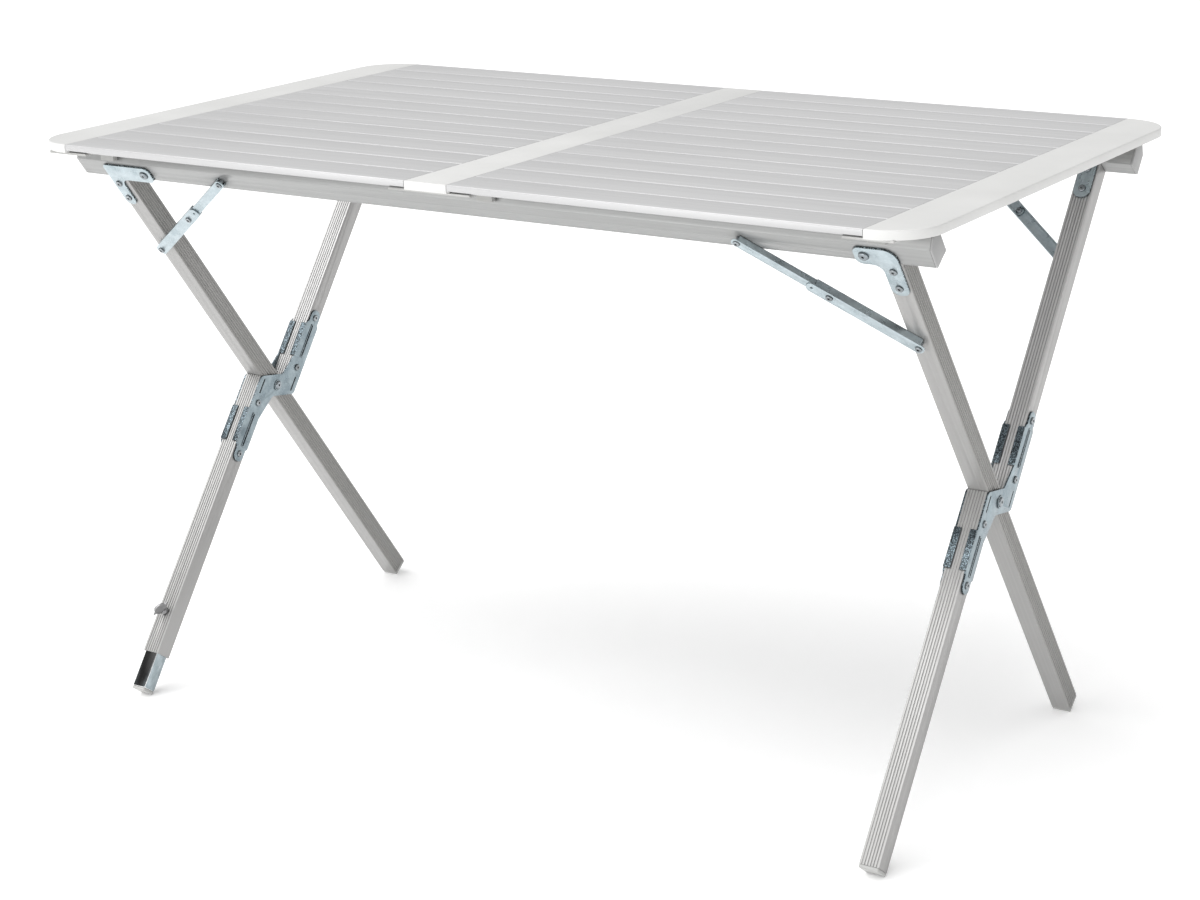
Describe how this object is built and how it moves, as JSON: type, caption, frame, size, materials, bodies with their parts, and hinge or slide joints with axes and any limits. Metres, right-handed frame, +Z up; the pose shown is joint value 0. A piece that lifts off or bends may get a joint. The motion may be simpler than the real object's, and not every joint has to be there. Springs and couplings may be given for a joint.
{
  "type": "folding picnic table",
  "caption": "Folding picnic table with a slatted lift-off top on long rails, crossed legs at both ends, knee braces and a sliding foot.",
  "frame": {"origin": "on the floor under the middle of the tabletop", "axes": "+X along the table to its right end, -Y the front long side, +Z up"},
  "size_m": [1.15, 0.7, 0.71],
  "materials": {
    "slat_aluminium": "satin",
    "board_plastic": "satin",
    "ledge_aluminium": "satin",
    "hook_plastic": "satin",
    "rail_aluminium": "satin",
    "plug_plastic": "satin",
    "leg_aluminium": "satin",
    "rivet_steel": "satin",
    "pin_steel": "satin",
    "plate_zinc": "satin",
    "brace_steel": "satin",
    "cap_plastic": "satin",
    "slide_chrome": "polished",
    "screw_plastic": "satin"
  },
  "bodies": {
    "front_frame": {"brace_lower_front_left": "brace_steel", "brace_lower_front_right": "brace_steel", "brace_rivets_front": "rivet_steel", "brace_upper_front_left": "brace_steel", "brace_upper_front_right": "brace_steel", "bracket_inner_front_left": "plate_zinc", "bracket_inner_front_right": "plate_zinc", "bracket_outer_front_left": "plate_zinc", "bracket_outer_front_right": "plate_zinc", "bracket_pivots_front": "pin_steel", "bracket_rivets_front": "rivet_steel", "foot_cap_long_left": "cap_plastic", "foot_cap_long_right": "cap_plastic", "front_rail": "rail_aluminium", "long_leg_left": "leg_aluminium", "long_leg_right": "leg_aluminium", "rail_plug_front_left": "plug_plastic", "rail_plug_front_right": "plug_plastic"},
    "rear_frame": {"brace_lower_rear_left": "brace_steel", "brace_lower_rear_right": "brace_steel", "brace_rivets_rear": "rivet_steel", "brace_upper_rear_left": "brace_steel", "brace_upper_rear_right": "brace_steel", "bracket_inner_rear_left": "plate_zinc", "bracket_inner_rear_right": "plate_zinc", "bracket_outer_rear_left": "plate_zinc", "bracket_outer_rear_right": "plate_zinc", "bracket_pivots_rear": "pin_steel", "bracket_rivets_rear": "rivet_steel", "cross_pins": "pin_steel", "cross_plate_inner_left": "plate_zinc", "cross_plate_inner_right": "plate_zinc", "cross_plate_outer_left": "plate_zinc", "cross_plate_outer_right": "plate_zinc", "cross_rivets": "rivet_steel", "foot_cap_split_right": "cap_plastic", "rail_plug_rear_left": "plug_plastic", "rail_plug_rear_right": "plug_plastic", "rear_rail": "rail_aluminium", "split_leg_lower_left": "leg_aluminium", "split_leg_lower_right": "leg_aluminium", "split_leg_upper_left": "leg_aluminium", "split_leg_upper_right": "leg_aluminium"},
    "tabletop": {"centre_board": "board_plastic", "edge_slat_front_left": "slat_aluminium", "edge_slat_front_right": "slat_aluminium", "edge_slat_rear_left": "slat_aluminium", "edge_slat_rear_right": "slat_aluminium", "end_board_left": "board_plastic", "end_board_right": "board_plastic", "ledge_centre": "ledge_aluminium", "ledge_left": "ledge_aluminium", "ledge_right": "ledge_aluminium", "rail_hooks": "hook_plastic", "slats_left": "slat_aluminium", "slats_right": "slat_aluminium"},
    "slide_foot": {"slide_foot_tube": "slide_chrome", "slide_foot_cap": "cap_plastic"},
    "thumbscrew": {"wing_screw": "screw_plastic"}
  },
  "joints": [
    {"name": "frame_fold", "type": "hinge", "parent": "front_frame", "child": "rear_frame", "pos_m": [0, -0.0154, 0.34], "axis": [1, 0, 0], "range_deg": [0, 70]},
    {"name": "tabletop_lift", "type": "slide", "parent": "front_frame", "child": "tabletop", "axis": [0, 0, 1], "range_m": [0, 0.43]},
    {"name": "foot_slide", "type": "slide", "parent": "rear_frame", "child": "slide_foot", "axis": [0, -0.6018, -0.7986], "range_m": [-0.045, 0.035]},
    {"name": "thumbscrew_turn", "type": "hinge", "parent": "rear_frame", "child": "thumbscrew", "pos_m": [-0.51, -0.24483, 0.09636], "axis": [0, -0.7986, 0.6018], "range_deg": [0, 270]}
  ],
  "couplings": [
    {"joint": "tabletop_lift", "follows": "frame_fold", "m_per_rad": 0.35}
  ]
}
